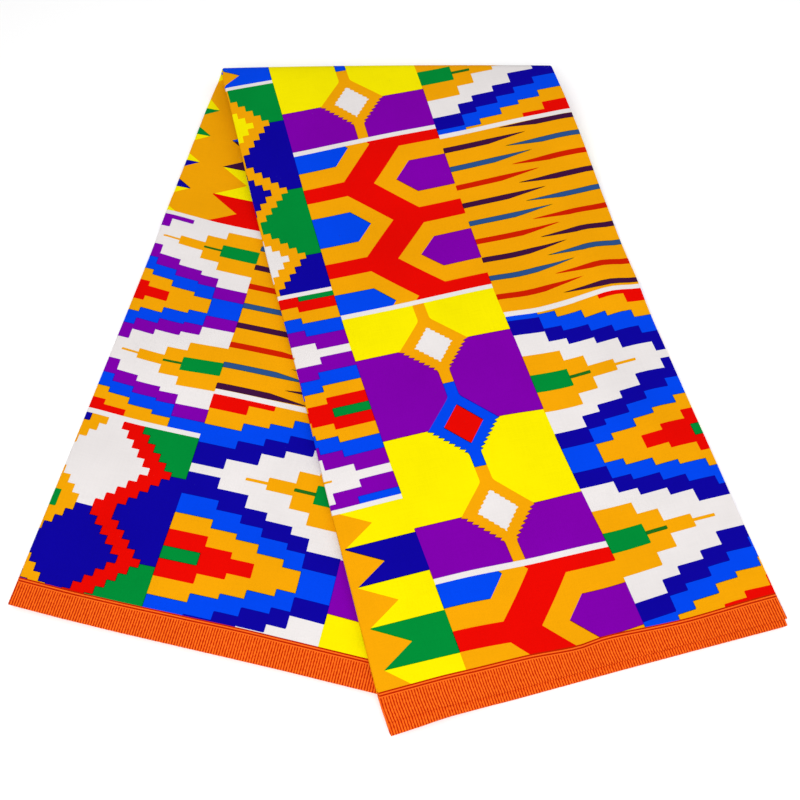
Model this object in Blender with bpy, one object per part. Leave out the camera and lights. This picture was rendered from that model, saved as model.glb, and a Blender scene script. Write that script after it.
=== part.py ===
"""A length of wax print cotton, folded as it is sold.

The cloth is pleated lengthwise into a strip of four layers, and the strip is folded once across its
middle, with its two legs splayed. The lower leg lies flat on the surface and the upper leg lies over it.
Metres, +Z up. Across is measured over the strip, and along runs from the lower leg's end over the fold.
"""

from collections import namedtuple
from math import cos, hypot, pi, radians, sin, tan

import bmesh
import bpy

# The sheet, and the pile that its four layers make
SHEET = 0.001
PITCH = 0.00135
LAYERS = 4
PILE = SHEET + (LAYERS - 1) * PITCH
TURN_RADIUS = PITCH / 2

# How the strip lies: each leg is splayed from the line square to the fold, which runs along X
SPLAY = radians(13.5)
LOWER_END_X = -0.13036
LOWER_END_Y = -0.23242
FOLD_Y = 0.28508
LOOSE = 0.0004
SPRING = 0.011
SETTLE = 0.18
FOLD_RADIUS = (PILE + LOOSE + SPRING) / 2

# The fold isn't quite straight: it bows out in the middle, and more towards its left end
HALF_STRIP = 0.14
FOLD_MIDDLE = 0.0021
FOLD_BOW = 0.00165
FOLD_LEAN = 0.00065
BOW_REACH = 0.08

# The fold's place along the strip's middle line
FOLD_START = (FOLD_Y - LOWER_END_Y) / cos(SPLAY)
FOLD_LENGTH = pi * FOLD_RADIUS / cos(SPLAY)
STRIP_LENGTH = 1.1150

# Where the upper leg comes down from the lower leg to the surface
LOWER_HALF_WIDTH = 0.143
OVERHANG = 0.016
COME_DOWN = 0.055

# Mesh steps
STEPS_ACROSS = 9
STEPS_ROUND_A_TURN = 4
STEPS_ROUND_THE_FOLD = 9
STEPS_ALONG_THE_LOWER_LEG = 9
STEPS_WHERE_IT_SETTLES = 8
STEPS_TO_THE_UPPER_END = 11

# The strip's edges along its length, measured from its middle line. The left edge is two pleats,
# the outer one joining the first two layers and the inner one the last two.
Edge = namedtuple("Edge", "along left_outer left_inner right_cut right_pleat right_inner_cut")
EDGES = (
    Edge(0.000, -0.1382, -0.1394, 0.1398, 0.1404, 0.1410),
    Edge(0.150, -0.1388, -0.1396, 0.1400, 0.1406, 0.1412),
    Edge(0.250, -0.1392, -0.1400, 0.1400, 0.1404, 0.1410),
    Edge(0.330, -0.1400, -0.1407, 0.1404, 0.1408, 0.1412),
    Edge(0.385, -0.1415, -0.1424, 0.1412, 0.1410, 0.1408),
    Edge(0.470, -0.1428, -0.1435, 0.1420, 0.1412, 0.1404),
    Edge(0.500, -0.1426, -0.1431, 0.1419, 0.1411, 0.1403),
    Edge(0.512, -0.1418, -0.1420, 0.1418, 0.1410, 0.1402),
    Edge(0.520, -0.1408, -0.1408, 0.1418, 0.1410, 0.1402),
    Edge(0.532, -0.1430, -0.1424, 0.1418, 0.1410, 0.1402),
    Edge(0.545, -0.1432, -0.1424, 0.1419, 0.1411, 0.1403),
    Edge(0.560, -0.1427, -0.1418, 0.1419, 0.1411, 0.1403),
    Edge(0.600, -0.1427, -0.1418, 0.1421, 0.1413, 0.1405),
    Edge(0.650, -0.1431, -0.1422, 0.1424, 0.1414, 0.1405),
    Edge(0.710, -0.1432, -0.1420, 0.1431, 0.1420, 0.1410),
    Edge(0.740, -0.1432, -0.1420, 0.1432, 0.1422, 0.1412),
    Edge(0.800, -0.1422, -0.1414, 0.1408, 0.1398, 0.1388),
    Edge(0.840, -0.1422, -0.1413, 0.1398, 0.1388, 0.1378),
    Edge(0.880, -0.1422, -0.1412, 0.1400, 0.1390, 0.1380),
    Edge(0.940, -0.1430, -0.1420, 0.1402, 0.1392, 0.1382),
    Edge(1.040, -0.1430, -0.1420, 0.1406, 0.1394, 0.1384),
    Edge(1.098, -0.1429, -0.1419, 0.1415, 0.1400, 0.1390),
    Edge(1.112, -0.1422, -0.1412, 0.1419, 0.1399, 0.1389),
    Edge(1.122, -0.1391, -0.1385, 0.1420, 0.1398, 0.1388),
)

# Where the two ends stop along the strip, for the first layer and for the one that reaches furthest
End = namedtuple("End", "across first_layer furthest_layer")
LOWER_ENDS = (
    End(-0.140, -0.0012, -0.0024),
    End(-0.100, -0.0028, -0.0041),
    End(-0.060, -0.0038, -0.0050),
    End(0.000, -0.0045, -0.0058),
    End(0.060, -0.0053, -0.0066),
    End(0.141, -0.0075, -0.0088),
)
UPPER_ENDS = (
    End(-0.142, 1.1163, 1.1247),
    End(-0.120, 1.1157, 1.1235),
    End(-0.100, 1.1151, 1.1217),
    End(-0.070, 1.1147, 1.1203),
    End(0.020, 1.1135, 1.1186),
    End(0.141, 1.1130, 1.1172),
)

# How far each layer's end comes, from the first layer's place to the furthest one's
LOWER_REACHES = (0.0, 0.3, 0.6, 1.0)
UPPER_REACHES = (0.0, 1.0, 0.95, 0.9)

# Soft waves that lift the pile: its top layer by the whole height, its bottom one not at all
Wave = namedtuple("Wave", "leg across along half_across half_along height")
WAVES = (
    Wave("upper", 0.128, 0.820, 0.060, 0.045, 0.0030),
    Wave("upper", 0.135, 0.690, 0.050, 0.060, 0.0016),
    Wave("upper", -0.120, 0.900, 0.050, 0.070, 0.0012),
    Wave("upper", 0.060, 1.095, 0.060, 0.030, 0.0012),
    Wave("lower", -0.132, 0.345, 0.045, 0.040, 0.0022),
    Wave("lower", 0.020, 0.006, 0.045, 0.022, 0.0014),
)

COTTON_COLOUR = (0.96, 0.42, 0.03, 1.0)
COTTON_ROUGHNESS = 0.75


def clear_scene():
    for obj in list(bpy.data.objects):
        bpy.data.objects.remove(obj, do_unlink=True)


def cotton():
    material = bpy.data.materials.new("printed_cotton")
    material.use_nodes = True
    shader = material.node_tree.nodes["Principled BSDF"]
    shader.inputs["Base Color"].default_value = COTTON_COLOUR
    shader.inputs["Roughness"].default_value = COTTON_ROUGHNESS
    shader.inputs["Metallic"].default_value = 0.0
    material.diffuse_color = COTTON_COLOUR
    return material


def ease(share):
    """A smooth step from 0 to 1."""
    share = min(max(share, 0.0), 1.0)
    return share * share * (3 - 2 * share)


def read(table, key, value, column):
    """A column of a table at a value of its key, with straight steps between the rows."""
    value = min(max(value, getattr(table[0], key)), getattr(table[-1], key))
    for low, high in zip(table, table[1:]):
        if value <= getattr(high, key):
            break
    share = (value - getattr(low, key)) / (getattr(high, key) - getattr(low, key))
    return getattr(low, column) * (1 - share) + getattr(high, column) * share


def section_steps():
    """The pleated section, as steps of (left column, right column, share, bulge, depth).

    A step lies at a share of the way from its left edge to its right edge, and a bulge pushes it out
    round a turn. Depth counts the layers from the first one, and is a half in the middle of a turn.
    """
    lefts = ("left_outer", "left_outer", "left_inner", "left_inner")
    rights = ("right_cut", "right_pleat", "right_pleat", "right_inner_cut")
    steps = []
    for layer, (left, right) in enumerate(zip(lefts, rights)):
        side = 1 if layer % 2 else -1
        for step in range(STEPS_ACROSS + 1):
            share = step / STEPS_ACROSS
            steps.append((left, right, share if side > 0 else 1 - share, 0.0, float(layer)))
        if layer == LAYERS - 1:
            break
        for step in range(1, STEPS_ROUND_A_TURN):
            angle = pi * step / STEPS_ROUND_A_TURN
            steps.append((left, right, (1 + side) / 2, side * sin(angle), layer + (1 - cos(angle)) / 2))
    return steps


def across_of(step, along):
    """Where a step of the section lies across the strip. The turns stay inside the strip's edges."""
    left_column, right_column, share, bulge, _ = step
    inset = TURN_RADIUS + SHEET / 2
    left = read(EDGES, "along", along, left_column) + inset
    right = read(EDGES, "along", along, right_column) - inset
    return left + (right - left) * share + bulge * TURN_RADIUS


def stations():
    """Where the rows of the mesh cross the strip's middle line, from the lower end to the upper one."""
    fold_end = FOLD_START + FOLD_LENGTH
    settled = fold_end + SETTLE / cos(SPLAY)
    stretches = (
        (0.0, FOLD_START, STEPS_ALONG_THE_LOWER_LEG),
        (FOLD_START, fold_end, STEPS_ROUND_THE_FOLD),
        (fold_end, settled, STEPS_WHERE_IT_SETTLES),
        (settled, STRIP_LENGTH, STEPS_TO_THE_UPPER_END),
    )
    rows = [0.0]
    for start, end, steps in stretches:
        rows += [start + (end - start) * step / steps for step in range(1, steps + 1)]
    return rows


def end_of(table, reaches, across, depth):
    """Where one end of the strip stops, at a place across it and a depth in the pile."""
    first = read(table, "across", across, "first_layer")
    furthest = read(table, "across", across, "furthest_layer")
    layer = min(int(depth), LAYERS - 2)
    reach = reaches[layer] + (reaches[layer + 1] - reaches[layer]) * (depth - layer)
    return first + (furthest - first) * reach


def bed_height(x, y):
    """The height of what the upper leg lies on: the lower leg, and past its edges the surface."""
    from_x = x - LOWER_END_X
    from_y = y - LOWER_END_Y
    across = from_x * cos(SPLAY) - from_y * sin(SPLAY)
    along = from_x * sin(SPLAY) + from_y * cos(SPLAY)
    past_side = max(across - LOWER_HALF_WIDTH - OVERHANG, 0.0)
    past_end = max(-along - OVERHANG, 0.0)
    return (PILE + LOOSE) * (1 - ease(hypot(past_side, past_end) / COME_DOWN))


def lift_of_waves(across, along, depth):
    """How far the waves lift a layer. The last layer is on top in the lower leg, the first in the upper."""
    down = depth / (LAYERS - 1)
    lift = 0.0
    for wave in WAVES:
        reach = hypot((across - wave.across) / wave.half_across, (along - wave.along) / wave.half_along)
        lift += wave.height * ease(1 - reach) * (down if wave.leg == "lower" else 1 - down)
    return lift


def bowed(across, y):
    """A place towards the fold, moved out by as much as the fold bows there. The legs keep straight."""
    share = across / HALF_STRIP
    bow = FOLD_MIDDLE - (FOLD_LEAN + FOLD_BOW * share) * share
    return y + bow * ease(1 - (FOLD_Y - y) / BOW_REACH)


def lay(across, along, depth):
    """The world position of a point of the sheet's middle surface."""
    outward = ((LAYERS - 1) / 2 - depth) * PITCH
    x = LOWER_END_X + across * cos(SPLAY) + along * sin(SPLAY)
    run = LOWER_END_Y - across * sin(SPLAY) + along * cos(SPLAY)
    lift = lift_of_waves(across, along, depth)
    turned = run - FOLD_Y
    if turned <= 0:
        return x, bowed(across, run), PILE / 2 - outward + lift
    if turned < pi * FOLD_RADIUS:
        angle = turned / FOLD_RADIUS
        radius = FOLD_RADIUS + outward
        y = bowed(across, FOLD_Y + radius * sin(angle))
        return x, y, PILE / 2 + FOLD_RADIUS - radius * cos(angle)
    back = turned - pi * FOLD_RADIUS
    y = FOLD_Y - back
    share = min(back / SETTLE, 1.0)
    sprung = SPRING * (1 - share + sin(2 * pi * share) / (2 * pi))
    return x, bowed(across, y), bed_height(x, y) + sprung + PILE / 2 + outward + lift


def folded_point(step, rows, row):
    """A point of the mesh. The rows are square to the strip at its ends and in line with the fold near it."""
    depth = step[-1]
    along = rows[row]
    across = across_of(step, along)
    if row == 0:
        return lay(across, end_of(LOWER_ENDS, LOWER_REACHES, across, depth), depth)
    if row == len(rows) - 1:
        return lay(across, end_of(UPPER_ENDS, UPPER_REACHES, across, depth), depth)
    from_fold = abs(along - FOLD_START) / FOLD_START
    along += across * tan(SPLAY) * ease((0.95 - from_fold) / 0.55)
    return lay(across_of(step, along), along, depth)


def folded_cloth():
    """One sheet: a grid bent into its pleats and its fold, and given the sheet's thickness."""
    steps = section_steps()
    rows = stations()
    columns = len(steps) - 1
    mesh = bpy.data.meshes.new("folded_cloth")
    bm = bmesh.new()
    bmesh.ops.create_grid(bm, x_segments=columns, y_segments=len(rows) - 1, size=0.5)
    for vert in bm.verts:
        step = steps[round((vert.co.x + 0.5) * columns)]
        vert.co = folded_point(step, rows, round((vert.co.y + 0.5) * (len(rows) - 1)))
    bm.to_mesh(mesh)
    bm.free()
    mesh.materials.append(cotton())
    cloth = bpy.data.objects.new("folded_cloth", mesh)
    bpy.context.scene.collection.objects.link(cloth)
    thickness = cloth.modifiers.new("thickness", "SOLIDIFY")
    thickness.thickness = SHEET
    thickness.offset = 0.0


def main():
    clear_scene()
    folded_cloth()


main()
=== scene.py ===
"""The looks of a length of wax print cotton, folded as it is sold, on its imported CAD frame.

The cloth is pleated lengthwise into a strip of four layers, and the strip is folded once across its
middle, with its two legs splayed. Lengths of the cloth are in metres and lengths in the print's charts
are in millimetres, as they are read off the cloth laid flat. Across is measured over the strip, and
along runs from the lower leg's end over the fold to the upper leg's end.
"""

from __future__ import annotations

import logging
from dataclasses import dataclass, field
from enum import Enum
from math import cos, hypot, pi, radians, sin, tan
from typing import NamedTuple, Sequence

import bmesh
import bpy
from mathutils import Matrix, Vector, noise

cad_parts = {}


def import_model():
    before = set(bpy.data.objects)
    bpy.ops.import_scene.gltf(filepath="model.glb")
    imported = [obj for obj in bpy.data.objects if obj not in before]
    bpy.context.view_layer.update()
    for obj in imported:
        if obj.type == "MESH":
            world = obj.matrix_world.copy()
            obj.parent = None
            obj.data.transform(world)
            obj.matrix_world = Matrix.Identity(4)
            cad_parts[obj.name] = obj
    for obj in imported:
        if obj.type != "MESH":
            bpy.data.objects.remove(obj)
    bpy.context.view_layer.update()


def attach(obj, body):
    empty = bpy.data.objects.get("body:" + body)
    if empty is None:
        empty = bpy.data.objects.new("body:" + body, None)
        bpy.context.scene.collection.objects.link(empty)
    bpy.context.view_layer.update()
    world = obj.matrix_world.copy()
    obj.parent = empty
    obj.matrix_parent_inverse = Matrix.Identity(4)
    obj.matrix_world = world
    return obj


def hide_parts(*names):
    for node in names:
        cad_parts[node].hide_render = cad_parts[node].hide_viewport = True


LOG = logging.getLogger("folded_cloth")
LAYERS = 4
MM = 1000  # in a metre


class Edge(NamedTuple):
    """The strip's edges at a place along it. The left edge is two pleats, each joining two layers."""

    along: float
    left_outer: float
    left_inner: float
    right_cut: float
    right_pleat: float
    right_inner_cut: float


class End(NamedTuple):
    """Where an end of the strip stops, at a place across it, for its first and its furthest layer."""

    across: float
    first_layer: float
    furthest_layer: float


class Wave(NamedTuple):
    """A soft wave that lifts the pile: its top layer by the whole height, its bottom one not at all."""

    leg: str
    across: float
    along: float
    half_across: float
    half_along: float
    height: float


class Seam(NamedTuple):
    """Where the line between two columns of the print lies across the strip."""

    along: float
    across: float


class Step(NamedTuple):
    """A step of the pleated section, at a share of the way from a left edge to a right edge."""

    left: str
    right: str
    share: float
    bulge: float
    depth: float
    path: float


class Spot(NamedTuple):
    """A point of the sheet: across and along the strip, its depth in the pile, and its path round it."""

    across: float
    along: float
    depth: float
    path: float


EDGES = (
    Edge(0.000, -0.1382, -0.1394, 0.1398, 0.1404, 0.1410),
    Edge(0.150, -0.1388, -0.1396, 0.1400, 0.1406, 0.1412),
    Edge(0.250, -0.1392, -0.1400, 0.1400, 0.1404, 0.1410),
    Edge(0.330, -0.1400, -0.1407, 0.1404, 0.1408, 0.1412),
    Edge(0.385, -0.1415, -0.1424, 0.1412, 0.1410, 0.1408),
    Edge(0.470, -0.1428, -0.1435, 0.1420, 0.1412, 0.1404),
    Edge(0.500, -0.1426, -0.1431, 0.1419, 0.1411, 0.1403),
    Edge(0.512, -0.1418, -0.1420, 0.1418, 0.1410, 0.1402),
    Edge(0.520, -0.1408, -0.1408, 0.1418, 0.1410, 0.1402),
    Edge(0.532, -0.1430, -0.1424, 0.1418, 0.1410, 0.1402),
    Edge(0.545, -0.1432, -0.1424, 0.1419, 0.1411, 0.1403),
    Edge(0.560, -0.1427, -0.1418, 0.1419, 0.1411, 0.1403),
    Edge(0.600, -0.1427, -0.1418, 0.1421, 0.1413, 0.1405),
    Edge(0.650, -0.1431, -0.1422, 0.1424, 0.1414, 0.1405),
    Edge(0.710, -0.1432, -0.1420, 0.1431, 0.1420, 0.1410),
    Edge(0.740, -0.1432, -0.1420, 0.1432, 0.1422, 0.1412),
    Edge(0.800, -0.1422, -0.1414, 0.1408, 0.1398, 0.1388),
    Edge(0.840, -0.1422, -0.1413, 0.1398, 0.1388, 0.1378),
    Edge(0.880, -0.1422, -0.1412, 0.1400, 0.1390, 0.1380),
    Edge(0.940, -0.1430, -0.1420, 0.1402, 0.1392, 0.1382),
    Edge(1.040, -0.1430, -0.1420, 0.1406, 0.1394, 0.1384),
    Edge(1.098, -0.1429, -0.1419, 0.1415, 0.1400, 0.1390),
    Edge(1.112, -0.1422, -0.1412, 0.1419, 0.1399, 0.1389),
    Edge(1.122, -0.1391, -0.1385, 0.1420, 0.1398, 0.1388),
)
LOWER_ENDS = (
    End(-0.140, -0.0012, -0.0024),
    End(-0.100, -0.0028, -0.0041),
    End(-0.060, -0.0038, -0.0050),
    End(0.000, -0.0045, -0.0058),
    End(0.060, -0.0053, -0.0066),
    End(0.141, -0.0075, -0.0088),
)
UPPER_ENDS = (
    End(-0.142, 1.1163, 1.1247),
    End(-0.120, 1.1157, 1.1235),
    End(-0.100, 1.1151, 1.1217),
    End(-0.070, 1.1147, 1.1203),
    End(0.020, 1.1135, 1.1186),
    End(0.141, 1.1130, 1.1172),
)
# How far each layer's end comes, from the first layer's place to the furthest one's
LOWER_REACHES = (0.0, 0.3, 0.6, 1.0)
UPPER_REACHES = (0.0, 1.0, 0.95, 0.9)

WAVES = (
    Wave("upper", 0.128, 0.820, 0.060, 0.045, 0.0030),
    Wave("upper", 0.135, 0.690, 0.050, 0.060, 0.0016),
    Wave("upper", -0.120, 0.900, 0.050, 0.070, 0.0012),
    Wave("upper", 0.060, 1.095, 0.060, 0.030, 0.0012),
    Wave("lower", -0.132, 0.345, 0.045, 0.040, 0.0022),
    Wave("lower", 0.020, 0.006, 0.045, 0.022, 0.0014),
)

# The print's columns don't run quite in line with the strip. On the first layer this is the seam between
# its second and third column from the left edge, and on the last layer the seam at its left column
FIRST_LAYER_SEAM = (
    Seam(0.540, -0.1016), Seam(0.600, -0.1006), Seam(0.700, -0.0999), Seam(0.770, -0.0991),
    Seam(0.810, -0.0981), Seam(0.850, -0.0962), Seam(0.890, -0.0943), Seam(0.927, -0.0925),
    Seam(0.975, -0.0890), Seam(1.016, -0.0859), Seam(1.065, -0.0827), Seam(1.117, -0.0790),
)
LAST_LAYER_SEAM = (
    Seam(0.000, -0.0476), Seam(0.047, -0.0487), Seam(0.100, -0.0498), Seam(0.166, -0.0501),
    Seam(0.226, -0.0520), Seam(0.295, -0.0532), Seam(0.420, -0.0538), Seam(0.530, -0.0540),
)


def linear(colour: str) -> tuple[float, float, float, float]:
    """Turns an sRGB hex colour into the linear colour that a shader takes.

    Args:
        colour: The colour, as "#RRGGBB".

    Returns:
        Red, green, blue and an alpha of 1.
    """
    parts = [int(colour[place:place + 2], 16) / 255 for place in (1, 3, 5)]
    red, green, blue = (p / 12.92 if p <= 0.04045 else ((p + 0.055) / 1.055) ** 2.4 for p in parts)
    return red, green, blue, 1.0


def ease(share: float) -> float:
    """A smooth step from 0 to 1."""
    share = min(max(share, 0.0), 1.0)
    return share * share * (3 - 2 * share)


def between(low: float, high: float, share: float) -> float:
    """The number at a share of the way from low to high."""
    return low + (high - low) * share


def read(table: Sequence[NamedTuple], key: str, value: float, column: str) -> float:
    """Reads a column of a table at a value of its key, with straight steps between the rows.

    Args:
        table: The rows, with their keys rising.
        key: The name of the column that the rows are placed by.
        value: Where to read; past an end of the table, the end row counts.
        column: The name of the column to read.

    Returns:
        The number there.
    """
    value = min(max(value, getattr(table[0], key)), getattr(table[-1], key))
    for low, high in zip(table, table[1:]):
        if value <= getattr(high, key):
            break
    share = (value - getattr(low, key)) / (getattr(high, key) - getattr(low, key))
    return between(getattr(low, column), getattr(high, column), share)


def curve(places: Sequence[float], numbers: Sequence[float], place: float) -> float:
    """Reads a smooth curve through numbers at rising places.

    Args:
        places: Where the numbers stand.
        numbers: The numbers there.
        place: Where to read; past an end of the curve, the end number counts.

    Returns:
        The number there.
    """
    place = min(max(place, places[0]), places[-1])
    last = len(places) - 1
    right = next(one for one in range(1, last + 1) if place <= places[one])
    slopes = []
    for one in (right - 1, right):
        low, high = max(one - 1, 0), min(one + 1, last)
        slopes.append((numbers[high] - numbers[low]) / (places[high] - places[low]))
    gap = places[right] - places[right - 1]
    share = (place - places[right - 1]) / gap
    bend = gap * share * (1 - share) * (slopes[0] * (1 - share) - slopes[1] * share)
    return between(numbers[right - 1], numbers[right], ease(share)) + bend


@dataclass(frozen=True)
class Drift:
    """How far the print is drawn out of line on a leg, in millimetres.

    Each row has a place along the leg, and a number for each place across it.
    """

    across: tuple[float, ...]
    rows: tuple[tuple[float, tuple[float, ...]], ...]

    def at(self, across: float, along: float) -> float:
        """Reads the drift at a point of the leg.

        Args:
            across: The point's place across the strip.
            along: Its place along the strip.

        Returns:
            The drift there.
        """
        past = next((one for one, row in enumerate(self.rows) if row[0] >= along), len(self.rows) - 1)
        near = self.rows[max(past - 2, 0):past + 2]
        return curve([row[0] for row in near], [curve(self.across, row[1], across) for row in near], along)


UPPER_UP = Drift(
    across=(-0.135, -0.095, -0.055, -0.015, 0.025, 0.050, 0.077, 0.097, 0.117, 0.137),
    rows=(
        (0.560, (-1.4, -0.2, 0.8, 2.0, 1.0, 0.8, -0.4, -1.2, -1.2, -0.6)),
        (0.600, (-1.6, 0.2, 0.8, 1.8, 3.0, 2.6, 1.8, 1.4, 0.8, 0.2)),
        (0.640, (-0.4, 0.6, 0.4, 0.6, 1.8, 2.0, 1.6, 1.4, 1.6, 1.6)),
        (0.683, (-0.2, 1.2, 0.8, 1.8, 2.2, 1.8, 1.2, 0.8, -0.2, -1.4)),
        (0.722, (-0.2, 0.6, 0.8, 2.2, 1.8, 1.6, 1.2, 0.6, -1.2, -3.4)),
        (0.757, (0.4, 1.2, 1.4, 2.2, 1.6, 2.0, 1.4, -1.4, -4.8, -3.2)),
        (0.778, (0.6, 1.2, 1.8, 1.8, 1.4, 2.4, 0.6, -2.8, -5.6, -2.6)),
        (0.815, (1.0, 1.6, 1.6, 0.6, 0.6, 2.4, -1.0, -3.8, -5.4, -1.2)),
        (0.828, (1.2, 1.4, 1.4, 0.8, 1.2, 2.6, -0.4, -3.8, -5.6, -2.6)),
        (0.848, (1.2, 1.2, 1.2, 0.6, 1.8, 2.6, 1.0, -0.8, -2.8, -1.8)),
        (0.880, (1.2, 1.0, 0.6, 0.4, 2.0, 1.6, -0.2, -1.6, -2.4, -1.6)),
        (0.920, (2.2, 1.2, 0.8, 1.2, 1.4, 1.4, 0.2, -1.2, -2.6, -1.6)),
        (0.960, (1.8, 0.8, 1.0, 1.4, 0.6, 0.6, 0.0, -1.0, -2.0, -1.8)),
        (1.000, (1.6, 1.0, 0.8, 0.6, -0.2, 0.2, -0.4, -1.2, -2.0, -1.8)),
        (1.030, (1.6, 1.0, 0.8, 0.6, 0.8, 1.2, -0.2, -1.0, -1.4, -1.4)),
        (1.060, (1.6, 1.4, 1.4, 2.8, 3.8, 2.6, 0.8, 0.0, -1.0, -0.8)),
        (1.095, (2.0, 2.6, 2.8, 5.0, 5.6, 3.6, 1.8, 0.8, -0.2, 0.2)),
        (1.117, (2.6, 3.2, 3.8, 5.2, 5.4, 4.0, 2.2, 1.0, 0.4, 0.6)),
    ),
)
UPPER_OVER = Drift(
    across=(-0.135, -0.085, -0.030, 0.030, 0.085, 0.135),
    rows=(
        (0.560, (-0.2, 0.6, 1.2, 0.2, -0.4, 1.0)),
        (0.620, (0.4, 0.2, 0.2, 1.2, 1.6, 1.2)),
        (0.700, (0.6, -0.2, 0.0, 1.0, 1.4, 1.0)),
        (0.780, (0.2, 0.0, 0.4, 1.8, 1.6, 0.4)),
        (0.860, (0.4, 0.4, -0.2, 2.0, 0.0, -0.2)),
        (0.940, (1.4, 0.6, 0.4, 1.4, 0.0, 0.0)),
        (1.000, (1.8, 1.0, 0.8, 0.8, 0.0, 0.2)),
        (1.050, (2.6, 1.0, -0.6, -0.8, -1.2, -0.2)),
        (1.110, (2.8, 1.0, -0.2, 0.2, 1.2, 1.4)),
    ),
)
LOWER_UP = Drift(
    across=(-0.135, -0.095, -0.045, 0.010, 0.060, 0.110),
    rows=(
        (0.005, (-0.6, -0.8, -1.0, 0.2, 0.2, -2.6)),
        (0.050, (-1.6, -1.8, 0.0, 1.2, 1.2, 0.6)),
        (0.100, (-1.0, -1.8, -0.2, 0.6, 0.4, 0.4)),
        (0.160, (0.8, -0.8, -0.4, 0.2, 0.2, 0.2)),
        (0.210, (0.8, -1.6, 1.0, 1.4, 1.4, 1.4)),
        (0.260, (1.6, -0.6, -0.4, 0.2, 0.2, 0.2)),
        (0.310, (4.0, 0.0, -1.2, -1.2, -1.2, -1.2)),
        (0.360, (1.0, -1.4, -1.4, -1.4, -1.4, -1.4)),
        (0.420, (-1.2, -1.4, -1.4, -1.4, -1.4, -1.4)),
        (0.480, (-2.6, -2.6, -2.6, -2.6, -2.6, -2.6)),
    ),
)
LOWER_OVER = Drift(
    across=(-0.135, -0.095, -0.045, 0.010, 0.060, 0.110),
    rows=(
        (0.005, (-0.4, -1.2, -0.8, -0.6, -0.8, -1.4)),
        (0.050, (-0.8, -0.8, -0.2, 1.0, 0.0, 0.0)),
        (0.100, (-0.4, 0.4, 0.8, 0.0, -0.4, -0.4)),
        (0.160, (0.0, -0.4, 0.0, 0.0, 0.0, 0.0)),
        (0.210, (0.4, -0.6, 0.2, 0.4, 0.4, 0.4)),
        (0.260, (0.4, 0.8, 0.8, 0.8, 0.8, 0.8)),
        (0.310, (-0.6, -0.2, -0.2, -0.2, -0.2, -0.2)),
        (0.360, (-1.2, -1.0, -1.0, -1.0, -1.0, -1.0)),
        (0.420, (-2.0, -2.0, -2.0, -2.0, -2.0, -2.0)),
        (0.480, (-2.3, -2.3, -2.3, -2.3, -2.3, -2.3)),
    ),
)
# How much narrower the border shows, in millimetres
UPPER_BORDER = Drift(
    across=(-0.140, -0.084, -0.040, -0.004, 0.016, 0.056, 0.076, 0.116, 0.140),
    rows=(
        (0.980, (0.0, 0.0, 0.0, 0.0, 0.0, 0.0, 0.0, 0.0, 0.0)),
        (1.060, (1.8, 2.2, 1.8, 4.2, 2.8, 4.8, 5.2, 3.6, 3.2)),
        (1.117, (1.8, 2.2, 1.8, 4.2, 2.8, 4.8, 5.2, 3.6, 3.2)),
    ),
)
LOWER_BORDER = Drift(
    across=(-0.130, -0.070, -0.020, 0.097),
    rows=(
        (0.000, (2.0, 1.8, 1.2, 1.0)),
        (0.050, (2.0, 1.8, 1.2, 1.0)),
        (0.130, (0.0, 0.0, 0.0, 0.0)),
    ),
)


@dataclass(frozen=True)
class ShownLayer:
    """How the print lies on a layer of the strip that shows. Its lengths are in millimetres.

    The print's columns run to the right where side is 1, and to the left where it is -1. At the seam they
    have come as far as column. Askew is how far the print rises over a metre of the strip's breadth, and
    rise_of_waves how far a metre of a wave's lift would carry it.
    """

    depth: float
    side: int
    seam: tuple[Seam, ...]
    column: float
    over: Drift
    up: Drift
    border: Drift
    askew: float = 0.0
    level_at: float = -0.050
    print_end: float = 1117.0
    rise_of_waves: float = 600.0

    def on_the_print(self, across: float, along: float, lift: float) -> tuple[float, float]:
        """Finds a point of the layer in the print.

        Args:
            across: The point's place across the strip.
            along: Its place along the strip.
            lift: How far the waves lift it.

        Returns:
            Over the print's columns, and up from the upper end.
        """
        seam = read(self.seam, "along", along, "across")
        over = self.column + self.side * (across - seam) * MM + self.over.at(across, along)
        slant = self.side * self.rise_of_waves * lift + self.askew * (across - self.level_at)
        return over, self.print_end - along * MM + slant + self.up.at(across, along)


SHOWN_LAYERS = (
    ShownLayer(0.0, 1, FIRST_LAYER_SEAM, 125.0, UPPER_OVER, UPPER_UP, UPPER_BORDER),
    ShownLayer(LAYERS - 1.0, -1, LAST_LAYER_SEAM, -625.0, LOWER_OVER, LOWER_UP, LOWER_BORDER, askew=-29.0),
)


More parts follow.
